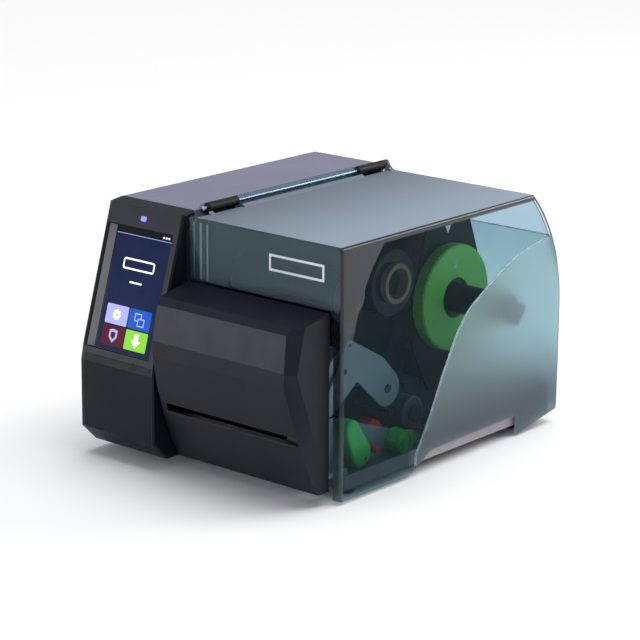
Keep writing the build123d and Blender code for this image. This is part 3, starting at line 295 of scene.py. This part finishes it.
def cover_zones(tree, where, step):
    """The cover's zones, each a value from 0 to 1: frosted, smoked, satin top, front wall, front post."""
    _, y, z = split(tree, where)
    smoked = without(tree, step["smoked_start"], step["smoked_end"])
    smoked = either(tree, smoked, cover_rim(tree, where, step))
    below = smooth_step(tree, math_node(tree, "SUBTRACT", frost_line(tree, y), z), 0.0, FROST_BLUR * MM)
    right = either(tree, step["right_wall"], step["rear_wall"])
    frosted = without(tree, both(tree, both(tree, below, step["band"]), right), smoked)
    top = step["top"]
    for limit in (step["off_barrel"], without(tree, 1.0, step["top_side"]), step["off_front"]):
        top = both(tree, top, limit)
    front = without(tree, 1.0, step["past_front"])
    post = without(tree, front, step["above_post"])
    return frosted, smoked, top, front, post


def cover_tone(tree, cloud, step, frosted, top, dark):
    """The tinted plastic's colour, with painted shade low on the frosted band and painted light on the top;
    dark is where the post and the smoked parts are.
    """
    # painted shade: the frosted band is darker low down, by height
    shaded_frost = two_tone(tree, step["frost_shade_height"], two_tone(tree, cloud, *FROST_SHADED_TONES),
                     two_tone(tree, cloud, *FROST_LIT_TONES))
    clear = two_tone(tree, dark, two_tone(tree, cloud, *HAZE_TONES),
                     two_tone(tree, step["post_height"], *POST_TONES))
    walls = two_tone(tree, frosted, clear, shaded_frost)
    # painted light: the top lightens to the right, by width
    return two_tone(tree, top, walls, two_tone(tree, step["top_light_falloff"], *TOP_LIGHT_FALLOFF_TONES))


def cover_material():
    """Tinted moulding: see-through at the front and over the window, frosted low down, satin on top."""
    made = bpy.data.materials.new("clear_cover")
    made.use_nodes = True
    tree = made.node_tree
    shader = tree.nodes["Principled BSDF"]
    where = object_place(tree)
    step = cover_steps(tree, *split(tree, where))
    frosted, smoked, top, front, post = cover_zones(tree, where, step)
    matte = either(tree, frosted, top)
    cloud = noise(tree, where, CLOUD_SCALE)
    tone = cover_tone(tree, cloud, step, frosted, top, either(tree, post, smoked))
    tree.links.new(tone, shader.inputs["Base Color"])
    tree.links.new(frosted, shader.inputs["Transmission Weight"])
    tree.links.new(remap(tree, matte, GLOSSY, SATIN, 0.0, 1.0), shader.inputs["Roughness"])
    bumps = node(tree, "ShaderNodeBump", Strength=SPECKLE_BUMP, Distance=SPECKLE_DEPTH)
    speckle = noise(tree, where, SPECKLE_SCALE, SPECKLE_DETAIL)
    tree.links.new(both(tree, speckle, matte), bumps.inputs["Height"])
    tree.links.new(bumps.outputs["Normal"], shader.inputs["Normal"])
    shader.inputs["IOR"].default_value = ACRYLIC_IOR

    rim = node(tree, "ShaderNodeLayerWeight", Blend=FACING_BLEND)
    edge_on = smooth_step(tree, rim.outputs["Facing"], EDGE_ON_START, EDGE_ON_FULL)
    clear = tree.nodes.new("ShaderNodeBsdfTransparent")
    tree.links.new(two_tone(tree, edge_on, *CLEAR_TINTS), clear.inputs["Color"])
    solid = either(tree, remap(tree, edge_on, SOLID_START, SOLID_FULL, 0.0, 1.0), matte)
    for zone, haze in ((front, FRONT_HAZE), (smoked, SMOKED_HAZE), (post, POST_HAZE)):
        solid = either(tree, solid, both(tree, zone, haze))
    mixed = tree.nodes.new("ShaderNodeMixShader")
    tree.links.new(math_node(tree, "MINIMUM", solid, MOST_SOLID), mixed.inputs[0])
    tree.links.new(clear.outputs[0], mixed.inputs[1])
    tree.links.new(shader.outputs[0], mixed.inputs[2])
    tree.links.new(mixed.outputs[0], tree.nodes["Material Output"].inputs["Surface"])
    return made


COVER = cover_material()


# ---- the base pan's material ---------------------------------------------------------------------
INSIDE_TONES = ((0.040, 0.050, 0.056), (0.050, 0.062, 0.068))
INSIDE_SCALE = 30.0
# the mauve paint starts between these places, in mm
FLANGE_X, FLANGE_Y = (119.6, 120.6), (94, 104)


def pan_material():
    """Sheet: mauve on the flange that shows outside the cover, darker inside the printer."""
    made = surface("pan_outside", (0.36, 0.32, 0.35), 0.5, grain=1200, bump=0.2, swing=0.06)
    tree = made.node_tree
    paint = tree.nodes["Principled BSDF"].inputs["Base Color"]
    x, y, z = split(tree, object_place(tree))
    low, high = FLANGE_Y
    outside = both(tree, smooth_step(tree, x, *(edge * MM for edge in FLANGE_X)),
                   smooth_step(tree, y, DATUM_Y + low * MM, DATUM_Y + high * MM))
    inside = two_tone(tree, noise(tree, z, INSIDE_SCALE), *INSIDE_TONES)
    tree.links.new(two_tone(tree, outside, inside, paint.links[0].from_socket), paint)
    return made


PAN_PAINT = pan_material()

FINISHES = {
    SHEET_TOP: ["side_cover", "rear_panel"],
    PAN_PAINT: ["base_pan"],
    DARK_SHELL: ["front_bezel", "cutter_cover"],
    DARK_PANEL: ["lower_front_panel"],
    BLACK: ["power_inlet", "platen_bushings", "label_sensor", "hinge_blocks", "blade_bearings",
            "platen_pulley", "media_guide", "takeup_hub", "supply_hub", "power_switch", "roll_axle",
            "margin_stop"],
    MECHANISM: ["outer_side_plate", "cutter_brackets", "head_side_plates"],
    DARK_PAINT: ["partition_wall", "media_chute", "cutter_frame"],
    ZINC: ["power_supply", "motor_bracket", "case_screws"],
    SHAFT: ["hinge_pin", "lock_shaft", "platen_shaft", "motor_pulley", "guide_screw"],
    BLADE: ["fixed_blade", "rotary_blade"],
    TEETH: ["tear_strip"],
    SOCKET: ["rear_sockets"],
    CAST: ["head_beam", "print_head"],
    MOTOR: ["cross_shafts", "platen_motor", "ribbon_drives", "cutter_motor"],
    RUBBER: ["rubber_feet", "drive_belt"],
    PLATEN: ["platen_roller"],
    GREY: ["deflection_roller"],
    GREEN: ["lock_lever", "guide_knob"],
    RING_GREEN: ["lock_ring"],
    RED: ["stop_pin", "adjust_wheel"],
    BOARD: ["display_module", "main_board"],
    CORE: ["takeup_core", "supply_core"],
    FILM: ["takeup_ribbon", "supply_ribbon"],
    GLASS: ["display_glass"],
    LIGHT: ["status_light"],
    COVER: ["cover_shell"],
}
for finish, names in FINISHES.items():
    for name in names:
        for slot in nodes[name].material_slots:
            slot.material = finish


# ---- flat closed pieces ----------------------------------------------------------------------------
def prism(name, corners, out, thick, finish, body):
    """Flat closed piece from its front outline, as thick as asked."""
    mesh = bpy.data.meshes.new(name)
    build = bmesh.new()
    front = [build.verts.new(p + out * thick) for p in corners]
    back = [build.verts.new(p) for p in corners]
    build.faces.new(front)
    build.faces.new(list(reversed(back)))
    for i in range(len(corners)):
        j = (i + 1) % len(corners)
        build.faces.new((front[j], front[i], back[i], back[j]))
    bmesh.ops.recalc_face_normals(build, faces=build.faces)
    build.to_mesh(mesh)
    build.free()
    piece = bpy.data.objects.new(name, mesh)
    scene.collection.objects.link(piece)
    mesh.materials.append(finish)
    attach(piece, body)


def rectangle(across0, across1, along0, along1):
    """Corners of a rectangle, in mm."""
    return [(across0, along0), (across1, along0), (across1, along1), (across0, along1)]


def rounded(x0, x1, s0, s1, radius, steps=5):
    """Outline of a rounded rectangle, in mm."""
    outline = []
    for cx, cs, start in ((x1 - radius, s0 + radius, -90), (x1 - radius, s1 - radius, 0),
                          (x0 + radius, s1 - radius, 90), (x0 + radius, s0 + radius, 180)):
        for i in range(steps + 1):
            angle = math.radians(start + 90 * i / steps)
            outline.append((cx + radius * math.cos(angle), cs + radius * math.sin(angle)))
    return outline


# ---- display picture -----------------------------------------------------------------------------
glass_low, glass_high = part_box("display_glass")
# the display leans back this many mm over this height
LEAN_BACK, LEAN_HEIGHT = 35.0, 114.9
LEAN = math.atan2(LEAN_BACK, LEAN_HEIGHT)
GLASS_THICK = 1.8 * MM
FACE_OUT = Vector((0, -math.cos(LEAN), math.sin(LEAN)))
SCREEN_TOP = Vector((glass_low.x, glass_high.y - GLASS_THICK * math.cos(LEAN), glass_high.z))
SCREEN_FOOT = Vector((glass_low.x, glass_low.y, glass_low.z + GLASS_THICK * math.sin(LEAN)))
SCREEN_DOWN = (SCREEN_FOOT - SCREEN_TOP).normalized()
SCREEN_RIGHT = Vector((1, 0, 0))
FILM_LIFT, FILM_THICK = 0.02 * MM, 0.06 * MM


def on_screen(x, s, lift=0.0):
    """Point on the glass, x mm to the right and s mm down from its top left corner, lifted off it."""
    return SCREEN_TOP + SCREEN_RIGHT * (x * MM) + SCREEN_DOWN * (s * MM) + FACE_OUT * lift


def picture(name, outline, finish, layer=1):
    """Flat shape of the lit picture, stacked in layers above the glass."""
    points = [on_screen(x, s, FILM_LIFT + layer * FILM_THICK) for x, s in outline]
    prism(f"picture_{name}", points, FACE_OUT, FILM_THICK, finish, "base")


def lit(name, color, glow=0.8):
    """Finish of one lit colour on the display."""
    return surface(f"lit_{name}", color, 0.35, grain=400, bump=0.0, swing=0.03, specular=0.04, glow=glow)


NAVY = lit("navy", (0.0032, 0.0078, 0.040), 0.5)
PICTURE_BLACK = lit("black", (0.002, 0.002, 0.004), 0.1)
WHITE = lit("white", (0.85, 0.87, 0.95))
LAVENDER = lit("lavender", (0.27, 0.29, 0.56))
BLUE = lit("blue", (0.006, 0.060, 0.34))
CRIMSON = lit("crimson", (0.065, 0.002, 0.010))
LIME = lit("lime", (0.16, 0.44, 0.03))
PALE_BLUE = lit("pale_blue", (0.25, 0.30, 0.60))
# painted highlight: the grey of a strip laid on the dark bezel's bevel, for light caught there
BEVEL_HIGHLIGHT_GREY = surface("bezel_bevel_painted_highlight", (0.15, 0.15, 0.16), 0.45, grain=1500, bump=0.1, swing=0.05)

# painted highlight: a lighter strip on the dark bezel's bevel left of the glass, for the light it catches; it
# rises to the left by this slope
BEVEL_SLOPE = 4.4 / 9.0
BEVEL_LEFT, BEVEL_RIGHT, BEVEL_HEAD, BEVEL_FOOT = -6.4, -0.5, 0.8, 105
BEVEL_LIFT, BEVEL_THICK = 0.05, 0.12 * MM
bevel = [on_screen(x, s, (BEVEL_LIFT - x * BEVEL_SLOPE) * MM)
         for x, s in rectangle(BEVEL_LEFT, BEVEL_RIGHT, BEVEL_HEAD, BEVEL_FOOT)]
bevel_out = (SCREEN_RIGHT * BEVEL_SLOPE + FACE_OUT).normalized()
# painted highlight strip laid on the bevel
prism("display_bevel_highlight_strip", bevel, bevel_out, BEVEL_THICK, BEVEL_HIGHLIGHT_GREY, "base")

FIELD_LEFT, FIELD_RIGHT, BAR_FOOT = 0.4, 64.0, 6.4
picture("field", rounded(FIELD_LEFT, FIELD_RIGHT, 0.3, 105.2, 0.3), NAVY, 0)
picture("status_bar", rounded(FIELD_LEFT, FIELD_RIGHT, 0.3, BAR_FOOT, 0.2), PICTURE_BLACK)
picture("status_line", rounded(FIELD_LEFT, FIELD_RIGHT, BAR_FOOT, BAR_FOOT + 0.5, 0.1), PALE_BLUE)
DOT_START, DOT_STEP, DOT_WIDE = 53, 3, 1.8
for index in range(3):
    left = DOT_START + DOT_STEP * index
    picture(f"status_dot_{index}", rounded(left, left + DOT_WIDE, 2.8, 4.6, 0.8), WHITE, 2)
picture("blank_label", rounded(14, 50, 26, 35.5, 2.2), WHITE)
picture("blank_label_inner", rounded(15.4, 48.6, 27.4, 34.1, 1.4), NAVY, 2)
picture("ready_bar", rounded(25, 39, 45, 46.4, 0.6), WHITE)

TILE_WIDE, TILE_TALL, TILE_CORNER = 25.2, 16.6, 1.2
LEFT_TILES, RIGHT_TILES, UPPER_TILES, LOWER_TILES = 5.5, 32.0, 66.5, 84.5
TILES = {
    "gear": (LEFT_TILES, UPPER_TILES, LAVENDER),
    "copies": (RIGHT_TILES, UPPER_TILES, BLUE),
    "shield": (LEFT_TILES, LOWER_TILES, CRIMSON),
    "feed": (RIGHT_TILES, LOWER_TILES, LIME),
}
for tile, (x, s, finish) in TILES.items():
    picture(f"tile_{tile}", rounded(x, x + TILE_WIDE, s, s + TILE_TALL, TILE_CORNER), finish)

GEAR_X, GEAR_S, GEAR_TIP, GEAR_ROOT, GEAR_POINTS = 18, 74.8, 4.6, 3.5, 32
gear = []
for i in range(GEAR_POINTS):
    radius = GEAR_TIP if i % 4 < 2 else GEAR_ROOT
    angle = 2 * math.pi * i / GEAR_POINTS
    gear.append((GEAR_X + radius * math.cos(angle), GEAR_S + radius * math.sin(angle)))
picture("gear", gear, WHITE, 2)
picture("gear_hole", rounded(16.6, 19.4, 73.4, 76.2, 1.3), LAVENDER, 3)
picture("copy_back", rounded(38.5, 46.5, 69.5, 76.5, 0.4), PALE_BLUE, 2)
picture("copy_back_inner", rounded(39.6, 45.4, 70.6, 75.4, 0.2), BLUE, 3)
picture("copy_front", rounded(42.5, 50.5, 73.5, 80.5, 0.4), PALE_BLUE, 4)
picture("copy_front_inner", rounded(43.6, 49.4, 74.6, 79.4, 0.2), BLUE, 5)
picture("shield", [(13.4, 88), (18, 87), (22.6, 88), (22.6, 94), (18, 98.6), (13.4, 94)], PALE_BLUE, 2)
picture("shield_inner", [(15.4, 90), (18, 89.3), (20.6, 90), (20.6, 93.4), (18, 96), (15.4, 93.4)],
        CRIMSON, 3)
picture("arrow", [(42.4, 87), (46.8, 87), (46.8, 92.6), (49.6, 92.6), (44.6, 98.6), (39.6, 92.6),
                  (42.4, 92.6)], WHITE, 2)


# ---- blank label and ribs on the cover's front wall ------------------------------------------------
cover_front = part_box("cover_shell")[0].y
PRINT_WHITE = surface("print_white", (0.62, 0.66, 0.68), 0.5, grain=900, bump=0.05)
RIB_TEAL = surface("rib_teal", (0.060, 0.095, 0.110), 0.3, grain=900, bump=0.05, swing=0.2)
MARK_LIFT = 0.02 * MM
PRINT_THICK, RIB_THICK = 0.05 * MM, 0.08 * MM


def front_mark(name, outline, finish, thick):
    """Thin piece just in front of the cover's front wall; outline in x and z."""
    corners = [Vector((x * MM, cover_front - MARK_LIFT, DATUM_Z + z * MM)) for x, z in outline]
    prism(name, corners, Vector((0, -1, 0)), thick, finish, "cover")


LABEL_LEFT, LABEL_RIGHT, LABEL_FOOT, LABEL_HEAD, LABEL_LINE = 50, 108, 173, 187, 2
label_lines = (
    (LABEL_LEFT, LABEL_RIGHT, LABEL_HEAD - LABEL_LINE, LABEL_HEAD),
    (LABEL_LEFT, LABEL_RIGHT, LABEL_FOOT, LABEL_FOOT + LABEL_LINE),
    (LABEL_LEFT, LABEL_LEFT + LABEL_LINE, LABEL_FOOT + LABEL_LINE, LABEL_HEAD - LABEL_LINE),
    (LABEL_RIGHT - LABEL_LINE, LABEL_RIGHT, LABEL_FOOT + LABEL_LINE, LABEL_HEAD - LABEL_LINE),
)
for index, edges in enumerate(label_lines):
    front_mark(f"blank_label_print_{index}", rectangle(*edges), PRINT_WHITE, PRINT_THICK)

RIB_FOOT, RIB_HEAD = 152.5, 200.0
for index, (left, right) in enumerate(((-33.0, -31.6), (-26.0, -23.6), (-18.4, -16.6))):
    front_mark(f"cover_rib_{index}", rectangle(left, right, RIB_FOOT, RIB_HEAD), RIB_TEAL, RIB_THICK)


# ---- marks on the lever, the ring and the margin stop ----------------------------------------------
MARK_WHITE = surface("mark_white", (0.75, 0.78, 0.78), 0.5, grain=900, bump=0.05)
MARK_GREY = surface("mark_grey", (0.40, 0.50, 0.42), 0.5, grain=900, bump=0.05)
MARK_THICK = 0.06 * MM
STOP_PLATE = 2.2 * MM
lever_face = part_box("lock_lever")[1].x
ring_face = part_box("lock_ring")[1].x
stop_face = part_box("margin_stop")[0].x + STOP_PLATE


def side_mark(name, x, outline, finish, body):
    """Thin print on a face that looks right; outline in y and z."""
    corners = [Vector((x + MARK_LIFT, DATUM_Y + a * MM, DATUM_Z + b * MM)) for a, b in outline]
    prism(name, corners, Vector((1, 0, 0)), MARK_THICK, finish, body)


side_mark("lever_mark", lever_face, [(60.5, 11.0), (65.5, 13.5), (64.0, 8.0)], RED, "lock")
# a small padlock: its block, and the two legs and the top of its shackle
padlock = ((236.6, 241.4, 131.0, 135.0), (237.3, 238.1, 135.0, 138.2), (239.9, 240.7, 135.0, 138.2),
           (237.3, 240.7, 138.2, 139.0))
for index, edges in enumerate(padlock):
    side_mark(f"ring_mark_{index}", ring_face, rectangle(*edges), MARK_GREY, "ring")
side_mark("stop_mark", stop_face, [(238.5, 167), (246.5, 167), (242.5, 160)], MARK_WHITE,
          "margin")


# ---- floor, lights and camera ----------------------------------------------------------------------
FLOOR_REACH = 6
FLOOR_PAPER, FLOOR_ROUGH = (0.92, 0.92, 0.93, 1), 0.6


def floor():
    """Wide pale floor at table height."""
    mesh = bpy.data.meshes.new("floor")
    build = bmesh.new()
    bmesh.ops.create_grid(build, x_segments=1, y_segments=1, size=FLOOR_REACH)
    build.to_mesh(mesh)
    build.free()
    piece = bpy.data.objects.new("floor", mesh)
    scene.collection.objects.link(piece)
    paper = bpy.data.materials.new("floor_paper")
    paper.use_nodes = True
    shader = paper.node_tree.nodes["Principled BSDF"]
    shader.inputs["Base Color"].default_value = FLOOR_PAPER
    shader.inputs["Roughness"].default_value = FLOOR_ROUGH
    mesh.materials.append(paper)


def studio_world(strength):
    """Even white light from all around."""
    world = bpy.data.worlds.new("studio")
    world.use_nodes = True
    background = world.node_tree.nodes["Background"]
    background.inputs["Color"].default_value = (1, 1, 1, 1)
    background.inputs["Strength"].default_value = strength
    scene.world = world


def area_light(name, place, aim, size, power, color=(1, 1, 1)):
    """Soft box at place, pointed at aim."""
    data = bpy.data.lights.new(name, "AREA")
    data.shape = "RECTANGLE"
    data.size, data.size_y = size
    data.energy = power
    data.color = color
    light = bpy.data.objects.new(name, data)
    light.location = place
    light.rotation_euler = (Vector(aim) - Vector(place)).to_track_quat("-Z", "Y").to_euler()
    scene.collection.objects.link(light)


def sun_light(name, tilt, spread, strength):
    """Even light from far away, turned by tilt in degrees; a wide spread keeps its shadow soft."""
    data = bpy.data.lights.new(name, "SUN")
    data.energy = strength
    data.angle = math.radians(spread)
    light = bpy.data.objects.new(name, data)
    light.rotation_euler = [math.radians(angle) for angle in tilt]
    scene.collection.objects.link(light)


floor()
studio_world(strength=0.45)
sun_light("soft_top", tilt=(-10, 8, 0), spread=50, strength=1.95)
area_light("front_box", place=(-1.2, -1.55, 0.30), aim=(0, 0, 0.12), size=(0.9, 0.36), power=12,
           color=(0.90, 0.94, 1.0))
area_light("rear_box", place=(0.9, 1.5, 0.9), aim=(0.08, 0.1, 0.1), size=(1.2, 0.9), power=16)

# in metres and degrees
CAMERA_PLACE = (1.30897, -1.53555, 0.66786)
CAMERA_TURN, CAMERA_RISE, CAMERA_ROLL = 40.53, 15.583, 0.3094
CAMERA_LENS, CAMERA_SENSOR, CAMERA_REACH = 137.19, 36.0, 30.0

camera_data = bpy.data.cameras.new("camera")
camera_data.sensor_width = CAMERA_SENSOR
camera_data.lens = CAMERA_LENS
camera_data.clip_end = CAMERA_REACH
camera = bpy.data.objects.new("camera", camera_data)
camera.matrix_world = (
    Matrix.Translation(CAMERA_PLACE)
    @ Matrix.Rotation(math.radians(CAMERA_TURN), 4, "Z")
    @ Matrix.Rotation(math.radians(90 - CAMERA_RISE), 4, "X")
    @ Matrix.Rotation(math.radians(CAMERA_ROLL), 4, "Z")
)
scene.collection.objects.link(camera)
scene.camera = camera
scene.view_settings.view_transform = "Standard"
